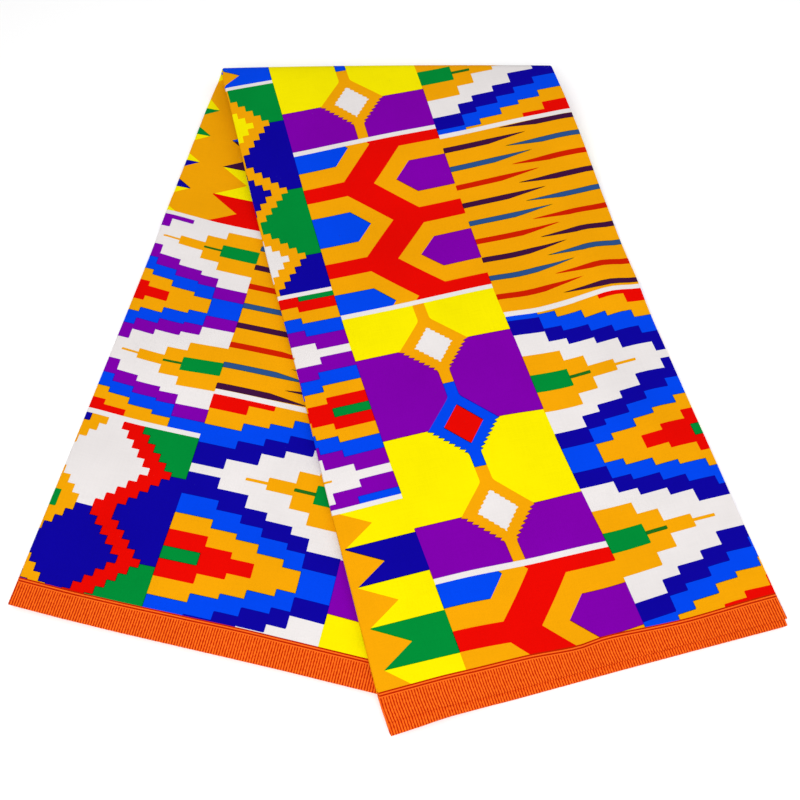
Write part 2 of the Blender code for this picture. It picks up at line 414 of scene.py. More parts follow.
@dataclass(frozen=True)
class Pile:
    """How the pleated strip lies: its layers, its fold, its splayed legs and its soft waves."""

    sheet: float = 0.001
    pitch: float = 0.00135
    splay: float = radians(13.5)
    lower_end_x: float = -0.13036
    lower_end_y: float = -0.23242
    fold_y: float = 0.28508
    half_strip: float = 0.14
    fold_middle: float = 0.0021
    fold_bow: float = 0.00165
    fold_lean: float = 0.00065
    bow_reach: float = 0.08
    loose: float = 0.0004
    spring: float = 0.011
    settle: float = 0.18
    strip_length: float = 1.1150
    lower_half_width: float = 0.143
    overhang: float = 0.016
    come_down: float = 0.055
    uneven_height: float = 0.00035
    uneven_length: float = 0.055

    @property
    def height(self) -> float:
        """The height of the pile of layers."""
        return self.sheet + (LAYERS - 1) * self.pitch

    @property
    def turn_radius(self) -> float:
        """The radius of a pleat's turn, at the middle of the sheet."""
        return self.pitch / 2

    @property
    def fold_radius(self) -> float:
        """The radius of the fold, at the middle of the pile."""
        return (self.height + self.loose + self.spring) / 2

    @property
    def fold_start(self) -> float:
        """Where the fold starts along the strip's middle line."""
        return (self.fold_y - self.lower_end_y) / cos(self.splay)

    @property
    def fold_length(self) -> float:
        """How much of the strip's middle line goes round the fold."""
        return pi * self.fold_radius / cos(self.splay)

    def across_of(self, step: Step, along: float) -> float:
        """Finds where a step of the section lies across the strip. The turns stay inside its edges.

        Args:
            step: The step.
            along: The section's place along the strip.

        Returns:
            The step's place across the strip.
        """
        inset = self.turn_radius + self.sheet / 2
        left = read(EDGES, "along", along, step.left) + inset
        right = read(EDGES, "along", along, step.right) - inset
        return between(left, right, step.share) + step.bulge * self.turn_radius

    def end_of(self, upper: bool, across: float, depth: float) -> float:
        """Finds where an end of the strip stops.

        Args:
            upper: True for the upper leg's end, False for the lower one's.
            across: The place across the strip.
            depth: The depth in the pile, in layers.

        Returns:
            The end's place along the strip.
        """
        table, reaches = (UPPER_ENDS, UPPER_REACHES) if upper else (LOWER_ENDS, LOWER_REACHES)
        first = read(table, "across", across, "first_layer")
        furthest = read(table, "across", across, "furthest_layer")
        layer = min(int(depth), LAYERS - 2)
        return between(first, furthest, between(reaches[layer], reaches[layer + 1], depth - layer))

    def bed_height(self, x: float, y: float) -> float:
        """Finds the height of what the upper leg lies on: the lower leg, and past its edges the surface.

        Args:
            x: A place along the fold.
            y: A place square to the fold.

        Returns:
            The height there.
        """
        from_x = x - self.lower_end_x
        from_y = y - self.lower_end_y
        across = from_x * cos(self.splay) - from_y * sin(self.splay)
        along = from_x * sin(self.splay) + from_y * cos(self.splay)
        past_side = max(across - self.lower_half_width - self.overhang, 0.0)
        past_end = max(-along - self.overhang, 0.0)
        return (self.height + self.loose) * (1 - ease(hypot(past_side, past_end) / self.come_down))

    def lift(self, across: float, along: float, depth: float) -> float:
        """Finds how far the waves lift a layer. The last one is the lower leg's top, the first the upper's.

        Args:
            across: The place across the strip.
            along: The place along the strip.
            depth: The depth in the pile, in layers.

        Returns:
            The lift there.
        """
        down = depth / (LAYERS - 1)
        lift = 0.0
        for wave in WAVES:
            reach = hypot((across - wave.across) / wave.half_across, (along - wave.along) / wave.half_along)
            lift += wave.height * ease(1 - reach) * (down if wave.leg == "lower" else 1 - down)
        return lift

    def unevenness(self, spot: Spot) -> float:
        """Finds the slight rise and fall of cloth that isn't pressed, most of it in the pile's top layer.

        Args:
            spot: The point of the sheet.

        Returns:
            Its further lift.
        """
        place = Vector((spot.across, spot.along, 0.0)) / self.uneven_length
        down = spot.depth / (LAYERS - 1)
        on_top = down if spot.along < self.fold_start else 1 - down
        return self.uneven_height * (0.5 + 0.5 * noise.noise(place)) * on_top

    def bowed(self, across: float, y: float) -> float:
        """Moves a place out by as much as the fold bows there. The legs keep straight.

        Args:
            across: The place across the strip.
            y: The place square to the fold.

        Returns:
            The moved place square to the fold.
        """
        share = across / self.half_strip
        bow = self.fold_middle - (self.fold_lean + self.fold_bow * share) * share
        return y + bow * ease(1 - (self.fold_y - y) / self.bow_reach)

    def lay(self, spot: Spot) -> Vector:
        """Lays a point of the sheet's middle surface on the pile.

        Args:
            spot: The point, as it is across and along the strip and deep in it.

        Returns:
            Its place in the object's frame.
        """
        outward = ((LAYERS - 1) / 2 - spot.depth) * self.pitch
        x = self.lower_end_x + spot.across * cos(self.splay) + spot.along * sin(self.splay)
        run = self.lower_end_y - spot.across * sin(self.splay) + spot.along * cos(self.splay)
        lift = self.lift(spot.across, spot.along, spot.depth) + self.unevenness(spot)
        turned = run - self.fold_y
        if turned <= 0:
            return Vector((x, self.bowed(spot.across, run), self.height / 2 - outward + lift))
        if turned < pi * self.fold_radius:
            angle = turned / self.fold_radius
            radius = self.fold_radius + outward
            y = self.bowed(spot.across, self.fold_y + radius * sin(angle))
            return Vector((x, y, self.height / 2 + self.fold_radius - radius * cos(angle)))
        back = turned - pi * self.fold_radius
        y = self.fold_y - back
        share = min(back / self.settle, 1.0)
        sprung = self.spring * (1 - share + sin(2 * pi * share) / (2 * pi))
        z = self.bed_height(x, y) + sprung + self.height / 2 + outward + lift
        return Vector((x, self.bowed(spot.across, y), z))


@dataclass
class FoldedCloth:
    """The cloth: one sheet, bent into its pleats and its fold, with its print drawn on both faces."""

    pile: Pile = field(default_factory=Pile)
    steps_across: int = 40
    steps_round_a_turn: int = 6
    rows_on_the_lower_leg: int = 64
    rows_round_the_fold: int = 20
    rows_where_it_settles: int = 28
    rows_to_the_upper_end: int = 46
    flat_width: float = 1.130
    flat_length: float = 1.120
    layer_width: float = 0.2805
    square_from: float = 0.95
    in_line_from: float = 0.40
    sharp_angle: float = radians(50)

    @property
    def turn_length(self) -> float:
        """How much cloth goes round a pleat."""
        return pi * self.pile.turn_radius

    def section(self) -> list[Step]:
        """Works out the pleated section.

        Returns:
            Its steps, from the right cut edge of the first layer to that of the last.
        """
        lefts = ("left_outer", "left_outer", "left_inner", "left_inner")
        rights = ("right_cut", "right_pleat", "right_pleat", "right_inner_cut")
        steps = []
        path = 0.0
        for layer, (left, right) in enumerate(zip(lefts, rights)):
            side = 1 if layer % 2 else -1
            for step in range(self.steps_across + 1):
                share = step / self.steps_across
                over = share if side > 0 else 1 - share
                steps.append(Step(left, right, over, 0.0, float(layer), path + share * self.layer_width))
            path += self.layer_width
            if layer == LAYERS - 1:
                break
            for step in range(1, self.steps_round_a_turn):
                share = step / self.steps_round_a_turn
                depth = layer + (1 - cos(pi * share)) / 2
                bulge = side * sin(pi * share)
                steps.append(Step(left, right, (1 + side) / 2, bulge, depth, path + share * self.turn_length))
            path += self.turn_length
        return steps

    def rows(self) -> list[float]:
        """Works out the rows of the mesh.

        Returns:
            Where they cross the strip's middle line, from its lower end to its upper one.
        """
        pile = self.pile
        fold_end = pile.fold_start + pile.fold_length
        settled = fold_end + pile.settle / cos(pile.splay)
        stretches = (
            (0.0, pile.fold_start, self.rows_on_the_lower_leg),
            (pile.fold_start, fold_end, self.rows_round_the_fold),
            (fold_end, settled, self.rows_where_it_settles),
            (settled, pile.strip_length, self.rows_to_the_upper_end),
        )
        rows = [0.0]
        for start, end, steps in stretches:
            rows += [between(start, end, step / steps) for step in range(1, steps + 1)]
        return rows

    def spot(self, step: Step, rows: Sequence[float], row: int) -> Spot:
        """Finds the point of the sheet where a step of the section and a row of the mesh meet.

        The rows are square to the strip at its ends, and turn to lie in line with the fold near it.

        Args:
            step: The step of the section.
            rows: Where all the rows cross the strip's middle line.
            row: The row's number.

        Returns:
            The point.
        """
        pile = self.pile
        along = rows[row]
        across = pile.across_of(step, along)
        if row in (0, len(rows) - 1):
            along = pile.end_of(row > 0, across, step.depth)
            return Spot(across, along, step.depth, step.path)
        from_fold = abs(along - pile.fold_start) / pile.fold_start
        turned = ease((self.square_from - from_fold) / (self.square_from - self.in_line_from))
        along += across * tan(pile.splay) * turned
        return Spot(pile.across_of(step, along), along, step.depth, step.path)

    def on_the_cloth(self, spot: Spot) -> tuple[float, float]:
        """Finds a point's place on the flat cloth.

        The border is as uneven as it shows: its inner line comes nearer to the end in places.

        Args:
            spot: The point of the sheet.

        Returns:
            How far it is from one cut edge, and from the lower end.
        """
        start = self.pile.end_of(False, spot.across, spot.depth)
        end = self.pile.end_of(True, spot.across, spot.depth)
        shown = [one for one in SHOWN_LAYERS if one.depth == spot.depth]
        drawn = sum(one.side * one.border.at(spot.across, spot.along) for one in shown)
        return spot.path, (spot.along - start) / (end - start) * self.flat_length - drawn / MM

    def on_the_print(self, spot: Spot) -> tuple[float, float]:
        """Finds a point's place in the print.

        The two layers that show are laid on the print by what shows, and the two between them join up.

        Args:
            spot: The point of the sheet.

        Returns:
            Over the print's columns, and up from the upper end, in metres.
        """
        shown = [one for one in SHOWN_LAYERS if one.depth == spot.depth]
        across = spot.across if shown else read(EDGES, "along", spot.along, "left_outer")
        places = [
            one.on_the_print(across, spot.along, self.pile.lift(across, spot.along, one.depth))
            for one in shown or SHOWN_LAYERS
        ]
        hidden = (LAYERS - 2) * self.layer_width + (LAYERS - 1) * self.turn_length
        share = (spot.path - self.layer_width) / hidden
        over, up = (between(first, last, share) for first, last in zip(places[0], places[-1]))
        return over / MM, up / MM

    def sheet(self) -> bpy.types.Mesh:
        """Makes the middle surface of the sheet.

        Returns:
            Its mesh, with the flat cloth and the print as its two UV maps.
        """
        steps = self.section()
        rows = self.rows()
        columns = len(steps) - 1
        mesh = bpy.data.meshes.new("folded_length")
        shape = bmesh.new()
        bmesh.ops.create_grid(shape, x_segments=columns, y_segments=len(rows) - 1, size=0.5)
        cloth_map = shape.loops.layers.uv.new("Cloth")
        print_map = shape.loops.layers.uv.new("Print")
        for vert in shape.verts:
            step = steps[round((vert.co.x + 0.5) * columns)]
            spot = self.spot(step, rows, round((vert.co.y + 0.5) * (len(rows) - 1)))
            vert.co = self.pile.lay(spot)
            on_cloth, on_print = self.on_the_cloth(spot), self.on_the_print(spot)
            for loop in vert.link_loops:
                loop[cloth_map].uv = on_cloth
                loop[print_map].uv = on_print
        for face in shape.faces:
            face.smooth = True
        shape.to_mesh(mesh)
        shape.free()
        return mesh

    def build(self, material: bpy.types.Material) -> bpy.types.Object:
        """Makes the cloth, gives it its thickness and its finish, and puts it on the frame.

        Args:
            material: The printed cotton.

        Returns:
            The cloth, which stands for the CAD's solid.
        """
        middle = bpy.data.objects.new("middle_surface", self.sheet())
        bpy.context.scene.collection.objects.link(middle)
        thickness = middle.modifiers.new("thickness", "SOLIDIFY")
        thickness.thickness = self.pile.sheet
        thickness.offset = 0.0
        graph = bpy.context.evaluated_depsgraph_get()
        mesh = bpy.data.meshes.new_from_object(middle.evaluated_get(graph), depsgraph=graph)
        mesh.name = "printed_length"
        mesh.set_sharp_from_angle(angle=self.sharp_angle)
        bpy.data.objects.remove(middle)
        cloth = bpy.data.objects.new("printed_length", mesh)
        bpy.context.scene.collection.objects.link(cloth)
        mesh.materials.append(material)
        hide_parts("folded_cloth")
        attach(cloth, "root")
        return cloth


class Ink(Enum):
    """The print's inks, as they look on the cloth in even light."""

    YELLOW = "#E6D800"
    ORANGE = "#E09704"
    RED = "#D50601"
    PURPLE = "#74009C"
    DARK_BLUE = "#0B0390"
    BLUE = "#0140DA"
    GREEN = "#007F31"
    WHITE = "#D8D3D2"
    PLUM = "#380F38"
    STEEL = "#284A80"
    BRICK = "#BE1A00"
    DEEP_GREEN = "#1C641C"
    BORDER = "#F46B1A"
    BORDER_LINE = "#AE1E00"
    BORDER_BAND = "#EA651A"

    @property
    def colour(self) -> tuple[float, float, float, float]:
        """The ink's linear colour."""
        return linear(self.value)


class Chart(Enum):
    """The three columns that the print repeats, by the channel that marks them."""

    FLAGS = 0
    RINGS = 1
    STRIPES = 2


def add_node(tree: bpy.types.NodeTree, kind: str, *inputs: object, **settings: object) -> bpy.types.Node:
    """Adds a node with its settings and its links.

    Args:
        tree: The material's node tree.
        kind: The node's type.
        *inputs: What goes into the node's inputs in their order: a Reading, a socket to link from, a
            number or colour, or None to leave an input as it is.
        **settings: The node's own settings by name.

    Returns:
        The new node.
    """
    node = tree.nodes.new(kind)
    for name, value in settings.items():
        setattr(node, name, value)
    for socket, value in zip([one for one in node.inputs if one.enabled], inputs):
        value = value.socket if isinstance(value, Reading) else value
        if isinstance(value, bpy.types.NodeSocket):
            tree.links.new(value, socket)
        elif value is not None:
            socket.default_value = value
    return node


@dataclass(frozen=True)
class Reading:
    """A number that the nodes work out all over the cloth. Sums on it add Math nodes.

    A comparison gives 1 where it holds and 0 elsewhere, and such readings are joined with & and |.
    """

    tree: bpy.types.NodeTree
    socket: bpy.types.NodeSocket

    def worked(self, operation: str, *others: object) -> Reading:
        """The reading that one Math operation gives."""
        node = add_node(self.tree, "ShaderNodeMath", self, *others, operation=operation)
        return Reading(self.tree, node.outputs[0])

    def __add__(self, other: object) -> Reading:
        """The sum."""
        return self.worked("ADD", other)

    def __sub__(self, other: object) -> Reading:
        """The difference."""
        return self.worked("SUBTRACT", other)

    def __rsub__(self, other: float) -> Reading:
        """The difference from a number."""
        return self.worked("MULTIPLY_ADD", -1.0, other)

    def __mul__(self, other: object) -> Reading:
        """The product."""
        return self.worked("MULTIPLY", other)

    def __truediv__(self, other: float) -> Reading:
        """The share."""
        return self.worked("DIVIDE", other)

    def __lt__(self, other: object) -> Reading:
        """Where this is the smaller."""
        return self.worked("LESS_THAN", other)

    def __gt__(self, other: object) -> Reading:
        """Where this is the greater."""
        return self.worked("GREATER_THAN", other)

    def __and__(self, other: Reading) -> Reading:
        """Where both hold."""
        return self.worked("MULTIPLY", other)

    def __or__(self, other: Reading) -> Reading:
        """Where either holds."""
        return self.worked("MAXIMUM", other)

    def __abs__(self) -> Reading:
        """The size without its sign."""
        return self.worked("ABSOLUTE")

    def between(self, low: object, high: object) -> Reading:
        """Where this lies between two others."""
        return (self > low) & (self < high)

    def there_and_back(self, half: float) -> Reading:
        """This, turned back each time it reaches half a repeat."""
        return self.worked("PINGPONG", half)

    def repeated(self, low: float, high: float) -> Reading:
        """This, taken back to the start of the repeat each time it passes its end."""
        return self.worked("WRAP", high, low)


@dataclass(frozen=True)
class Painter:
    """Puts inks on top of each other, as the printer's screens do."""

    tree: bpy.types.NodeTree

    def over(self, under: object, ink: object, where: object, blend: str = "MIX") -> bpy.types.NodeSocket:
        """Lays one colour over another.

        Args:
            under: The colour or the Ink that was there.
            ink: The colour or the Ink that goes over it.
            where: 1 where it goes, and 0 elsewhere.
            blend: How the two mix where they meet.

        Returns:
            The colour.
        """
        under, ink = (one.colour if isinstance(one, Ink) else one for one in (under, ink))
        kind = {"data_type": "RGBA", "blend_type": blend}
        mixed = add_node(self.tree, "ShaderNodeMix", where, under, ink, **kind)
        return next(one for one in mixed.outputs if one.enabled)

    def bands(
        self, reading: Reading, span: float, inks: Sequence[tuple[float, object]]
    ) -> bpy.types.NodeSocket:
        """Lays plain bands of ink, one after the other.

        Args:
            reading: What the bands are measured by.
            span: The reading at which the table ends.
            inks: Where each band starts, and its ink or its linear colour.

        Returns:
            The colour.
        """
        node = add_node(self.tree, "ShaderNodeValToRGB", reading / span)
        ramp = node.color_ramp
        ramp.interpolation = "CONSTANT"
        ramp.elements.remove(ramp.elements[1])
        for number, (start, ink) in enumerate(inks):
            stop = ramp.elements.new(start / span) if number else ramp.elements[0]
            stop.position = start / span
            stop.color = ink.colour if isinstance(ink, Ink) else ink
        return node.outputs["Color"]


@dataclass(frozen=True)
class SteppedDiamonds:
    """Rows of stepped half diamonds, each the width of a column and built of upright strips of ink."""

    half: float
    red_centre: float
    strips: tuple[tuple[float, tuple[tuple[float, Ink], ...]], ...]
    eye_widths: tuple[tuple[float, float], ...]
    eye_green: tuple[float, float]
    eye_line: tuple[float, float, float]

    def draw(self, painter: Painter, x: Reading, y: Reading) -> bpy.types.NodeSocket:
        """Draws the diamonds over a column.

        Args:
            painter: What lays the inks.
            x: Across the column.
            y: Up the column.

        Returns:
            The colour.
        """
        out = (y - self.red_centre).there_and_back(self.half)
        colour = None
        for start, inks in self.strips:
            strip = painter.bands(out, self.half, inks)
            colour = strip if colour is None else painter.over(colour, strip, x > start)
        back = self.half - out
        eye = None
        for edge, width in self.eye_widths:
            step = (x < edge) & (back < width)
            eye = step if eye is None else eye | step
        colour = painter.over(colour, Ink.ORANGE, eye)
        edge, width = self.eye_green
        colour = painter.over(colour, Ink.GREEN, (x < edge) & (back < width))
        start, end, width = self.eye_line
        return painter.over(colour, Ink.DEEP_GREEN, x.between(start, end) & (back < width))


B, D, G, O, P, R, W, Y = (
    Ink.BLUE, Ink.DARK_BLUE, Ink.GREEN, Ink.ORANGE, Ink.PURPLE, Ink.RED, Ink.WHITE, Ink.YELLOW,
)


@dataclass(frozen=True)
class ChartedColumn:
    """A column of the print, in millimetres: patches that repeat up it, parted by white lines."""

    repeat: tuple[float, float]
    lines: tuple[tuple[float, float], ...]

    def patches(self, painter: Painter, x: Reading, y: Reading) -> bpy.types.NodeSocket:
        """Draws the patches, as each kind of column has its own."""
        raise NotImplementedError

    def draw(self, painter: Painter, x: Reading, y: Reading) -> bpy.types.NodeSocket:
        """Draws the whole column, and its white lines.

        Args:
            painter: What lays the inks.
            x: Across the column, from its left edge.
            y: Up the column, from the upper end of the cloth.

        Returns:
            The colour.
        """
        y = y.repeated(*self.repeat)
        colour = self.patches(painter, x, y)
        for low, high in self.lines:
            colour = painter.over(colour, W, y.between(low, high))
        return colour


@dataclass(frozen=True)
class FlagColumn(ChartedColumn):
    """The column of flags, stepped diamonds and zigzag triangles, read up from the upper end.

    A fly is the flags' free edge: how far across its notch and its points lie.
    """

    repeat: tuple[float, float] = (-41.3, 571.7)
    lines: tuple[tuple[float, float], ...] = ((-42.0, -37.2), (155.2, 159.6), (349.1, 353.5))
    flags_height: float = 200.0
    band: float = 30.7
    wide_band: tuple[float, float] = (-10.0, 35.0)
    left_fly: tuple[float, float] = (29.0, 54.5)
    right_fly: tuple[float, float] = (98.2, 74.4)
    right_flags: tuple[tuple[float, object], ...] = (
        (0.0, B), (31.3, Y), (76.3, G), (106.8, Y), (137.8, D), (168.3, Y),
    )
    left_flags: tuple[tuple[float, object], ...] = (
        (0.0, R), (31.3, Y), (76.3, B), (107.3, Ink.PLUM), (137.3, Y), (167.3, R),
    )
    diamonds_from: float = 157.4
    diamonds: SteppedDiamonds = SteppedDiamonds(
        half=55.2,
        red_centre=238.0,
        strips=(
            (0.0, ((0.0, B), (8.5, P), (19.2, W))),
            (26.0, ((0.0, O), (6.5, B), (18.5, P), (27.2, W))),
            (41.0, ((0.0, O), (10.0, B), (20.5, P), (31.0, W))),
            (61.0, ((0.0, R), (4.2, O), (15.5, B), (25.5, P), (36.0, W))),
            (79.0, ((0.0, R), (8.5, O), (19.7, B), (31.8, P), (45.0, W))),
            (95.0, ((0.0, R), (14.0, O), (25.3, B), (37.8, P), (45.0, W))),
            (97.0, ((0.0, G), (3.7, R), (14.0, O), (25.3, B), (37.8, P), (45.0, W))),
            (100.0, ((0.0, G), (3.7, R), (14.0, O), (25.3, B), (37.8, P), (51.2, W))),
        ),
        eye_widths=((30.0, 19.5), (46.0, 12.0), (67.0, 4.2), (81.0, 0.7)),
        eye_green=(31.0, 5.8),
        eye_line=(31.0, 46.0, 0.8),
    )
    triangles_from: float = 351.3
    triangles_base: float = 353.0
    triangles_height: float = 220.0
    middle_triangles: tuple[tuple[float, Ink], ...] = ((423.7, D), (494.0, Y))
    right_triangles: tuple[tuple[float, object], ...] = ((0.0, D), (35.0, G), (105.0, D), (176.0, G))
    zigzag_centre: float = 423.5
    zigzag_half: float = 35.2
    zigzag_points: int = 4
    tooth_height: float = 6.4
    red_at: float = 42.0
    red_tooth: float = 6.1
    red_width: float = 16.5
    orange_at: float = 71.0
    orange_tooth: float = 5.6
    orange_width: float = 13.5

    def flags(self, painter: Painter, x: Reading, y: Reading) -> bpy.types.NodeSocket:
        """Draws swallow-tailed flags from both sides of the column, on orange.

        Args:
            painter: What lays the inks.
            x: Across the column.
            y: Up the column.

        Returns:
            The colour.
        """
        low, high = self.wide_band
        below = (y - low).worked("MINIMUM", 0.0) / self.band
        inside = ((y - low).worked("MAXIMUM", 0.0) / (high - low)).worked("MINIMUM", 1.0)
        above = (y - high).worked("MAXIMUM", 0.0) / self.band
        share = abs((below + inside + above).repeated(0.0, 1.0) * 2 - 1.0)
        flies = (self.left_fly, self.right_fly)
        left_fly, right_fly = (share * (points - notch) + notch for notch, points in flies)
        up = y - self.repeat[0]
        left = painter.bands(up, self.flags_height, self.left_flags)
        right = painter.bands(up, self.flags_height, self.right_flags)
        return painter.over(painter.over(O, left, x < left_fly), right, x > right_fly)

    def triangles(self, painter: Painter, x: Reading, y: Reading) -> bpy.types.NodeSocket:
        """Draws pinked zigzags of red and orange between triangles of flat colour.

        Args:
            painter: What lays the inks.
            x: Across the column.
            y: Up the column.

        Returns:
            The colour.
        """
        last_point = self.zigzag_centre + self.zigzag_points * self.zigzag_half
        out = (y.worked("MINIMUM", last_point) - self.zigzag_centre).there_and_back(self.zigzag_half)
        teeth = (out / self.tooth_height).worked("FLOOR")
        red = self.red_at - teeth * self.red_tooth
        orange = teeth * self.orange_tooth + self.orange_at
        up = y - self.triangles_base
        right = painter.bands(up, self.triangles_height, self.right_triangles)
        middle = W
        for start, ink in self.middle_triangles:
            middle = painter.over(middle, ink, y > start)
        colour = painter.over(G, D, abs(y - self.zigzag_centre) < self.zigzag_half)
        colour = painter.over(colour, R, x > red)
        colour = painter.over(colour, middle, x > red + self.red_width)
        colour = painter.over(colour, O, x > orange)
        return painter.over(colour, right, x > orange + self.orange_width)

    def patches(self, painter: Painter, x: Reading, y: Reading) -> bpy.types.NodeSocket:
        """Draws the flags, with the diamonds above them and the triangles above those.

        Args:
            painter: What lays the inks.
            x: Across the column.
            y: Up the column.

        Returns:
            The colour.
        """
        diamonds = self.diamonds.draw(painter, x, y)
        colour = painter.over(self.flags(painter, x, y), diamonds, y > self.diamonds_from)
        return painter.over(colour, self.triangles(painter, x, y), y > self.triangles_from)


class HalfHexagon(NamedTuple):
    """Half a hexagon of the lattice, from a side of the column to its tip, and how steep that tip is."""

    from_left: bool
    half_height: float
    tip: float
    slope: float
    ink: Ink


@dataclass(frozen=True)
class RingColumn(ChartedColumn):
    """The column of diamond rings on yellow and purple, and of lattice, read up from the upper end."""

    repeat: tuple[float, float] = (85.65, 485.65)
    lines: tuple[tuple[float, float], ...] = ((85.0, 90.4), (317.2, 321.8))
    middle: float = 61.5
    purple_band: tuple[float, float] = (204.0, 277.2)
    first_ring: float = 130.5
    ring_pitch: float = 73.4
    ring_half: float = 27.0
    ring_slope: float = 0.93
    ring_reach: float = 24.0
    heart_half_width: float = 15.2
    heart_half_height: float = 17.0
    heart_pinking: float = 0.10
    neck_half: float = 4.5
    neck_blend: float = 3.0
    tooth_pitch: float = 3.2
    tooth_depth: float = 3.2
    lattice_from: float = 319.5
    lattice_centre: float = 404.5
    lattice_half: float = 39.5
    hexagons: tuple[HalfHexagon, ...] = (
        HalfHexagon(True, 32.5, 65.0, 0.938, O),
        HalfHexagon(False, 31.7, 58.5, 0.962, O),
        HalfHexagon(True, 15.6, 46.0, 0.897, B),
        HalfHexagon(False, 15.4, 78.0, 0.974, P),
    )

    def rings(self, painter: Painter, x: Reading, y: Reading) -> bpy.types.NodeSocket:
        """Draws three rings on a neck, their upper edges smooth and their lower ones pinked.

        Args:
            painter: What lays the inks.
            x: Across the column.
            y: Up the column.

        Returns:
            The colour.
        """
        colour = painter.over(Y, P, (y < self.first_ring) | y.between(*self.purple_band))
        up = (y - self.first_ring).repeated(-self.ring_pitch / 2, self.ring_pitch / 2)
        out = abs(up)
        side = abs(x - self.middle)
        teeth = y.there_and_back(self.tooth_pitch / 2) / (self.tooth_pitch / 2) - 0.5
        below = up.between(-self.ring_reach, 0.0)
        width = (self.ring_half - out * self.ring_slope).worked("SMOOTH_MAX", self.neck_half, self.neck_blend)
        width = width + (teeth & below) * self.tooth_depth
        centre = abs(y - (self.first_ring + self.ring_pitch)) < self.ring_pitch / 2
        colour = painter.over(colour, painter.over(O, B, centre), side < width)
        inside = side / self.heart_half_width + out / self.heart_half_height
        pinked = (teeth & (1.0 - centre)) * self.heart_pinking + 1.0
        return painter.over(colour, painter.over(W, R, centre), inside < pinked)

    def lattice(self, painter: Painter, x: Reading, y: Reading) -> bpy.types.NodeSocket:
        """Draws bars of orange that branch between half hexagons of blue and purple, on red.

        Args:
            painter: What lays the inks.
            x: Across the column.
            y: Up the column.

        Returns:
            The colour.
        """
        out = (y - self.lattice_centre).there_and_back(self.lattice_half)
        back = self.lattice_half - out
        colour = R
        for one in self.hexagons:
            off = out if one.from_left else back
            tip = one.tip - off * one.slope if one.from_left else off * one.slope + one.tip
            beside = x < tip if one.from_left else x > tip
            colour = painter.over(colour, one.ink, (off < one.half_height) & beside)
        return colour

    def patches(self, painter: Painter, x: Reading, y: Reading) -> bpy.types.NodeSocket:
        """Draws the rings, with the lattice above them."""
        return painter.over(self.rings(painter, x, y), self.lattice(painter, x, y), y > self.lattice_from)


class Taper(NamedTuple):
    """How stripes run in from a side: how far up one has its root, where it points, and its taper."""

    root: float
    point: float
    taper: float


@dataclass(frozen=True)
class StripeColumn(ChartedColumn):
    """The column of pointed stripes and of large stepped diamonds, read up from the upper end."""

    repeat: tuple[float, float] = (288.2, 879.7)
    lines: tuple[tuple[float, float], ...] = ((288.0, 293.0), (474.0, 478.8))
    stripes_to: float = 476.5
    pitch: float = 19.3
    half_width: float = 2.45
    rise: float = 1.8
    tapers: tuple[Taper, ...] = (Taper(462.0, 73.5, -34.0), Taper(471.4, 52.0, 32.0))
    inks: tuple[Ink, ...] = (Ink.PLUM, Ink.STEEL, Ink.BRICK)
    diamonds: SteppedDiamonds = SteppedDiamonds(
        half=69.0,
        red_centre=472.5,
        strips=(
            (0.0, ((0.0, B), (11.0, D), (24.0, W))),
            (25.0, ((0.0, O), (8.3, B), (22.0, D), (33.7, W))),
            (39.0, ((0.0, O), (13.8, B), (26.8, D), (39.8, W))),
            (59.3, ((0.0, R), (5.3, O), (20.5, B), (33.5, D), (46.0, W))),
            (76.6, ((0.0, R), (10.0, O), (24.8, B), (40.0, D), (56.3, W))),
            (96.3, ((0.0, R), (18.0, O), (31.8, B), (47.3, D), (56.3, W))),
            (98.0, ((0.0, G), (4.7, R), (18.0, O), (31.8, B), (47.3, D), (56.3, W))),
            (100.6, ((0.0, G), (4.7, R), (18.0, O), (31.8, B), (47.3, D), (65.0, W))),
        ),
        eye_widths=((29.6, 25.0), (45.0, 15.3), (65.3, 5.0), (82.0, 1.0)),
        eye_green=(29.0, 7.5),
        eye_line=(29.0, 45.0, 1.2),
    )

    def stripes(self, painter: Painter, x: Reading, y: Reading) -> bpy.types.NodeSocket:
        """Draws stripes that run in from both sides, each to a point a little higher up, on orange.

        Args:
            painter: What lays the inks.
            x: Across the column.
            y: Up the column.

        Returns:
            The colour.
        """
        colour = O
        cycle = len(self.inks) * self.pitch
        inks = [(number * self.pitch, ink) for number, ink in enumerate(self.inks)]
        for root, point, taper in self.tapers:
            share = ((x - point) / taper).worked("MINIMUM", 1.0)
            across = (y + share * self.rise - (root + self.rise)).repeated(-self.pitch / 2, self.pitch / 2)
            ink = painter.bands((root + self.pitch / 2 - y).repeated(0.0, cycle), cycle, inks)
            colour = painter.over(colour, ink, abs(across) < share * self.half_width)
        return colour

    def patches(self, painter: Painter, x: Reading, y: Reading) -> bpy.types.NodeSocket:
        """Draws the stripes, with the diamonds above them."""
        diamonds = self.diamonds.draw(painter, x, y)
        return painter.over(diamonds, self.stripes(painter, x, y), y < self.stripes_to)


class Column(NamedTuple):
    """One of the print's columns: its chart, how far up it starts there, and how much it stretches."""

    chart: Chart
    rise: float
    stretch: float


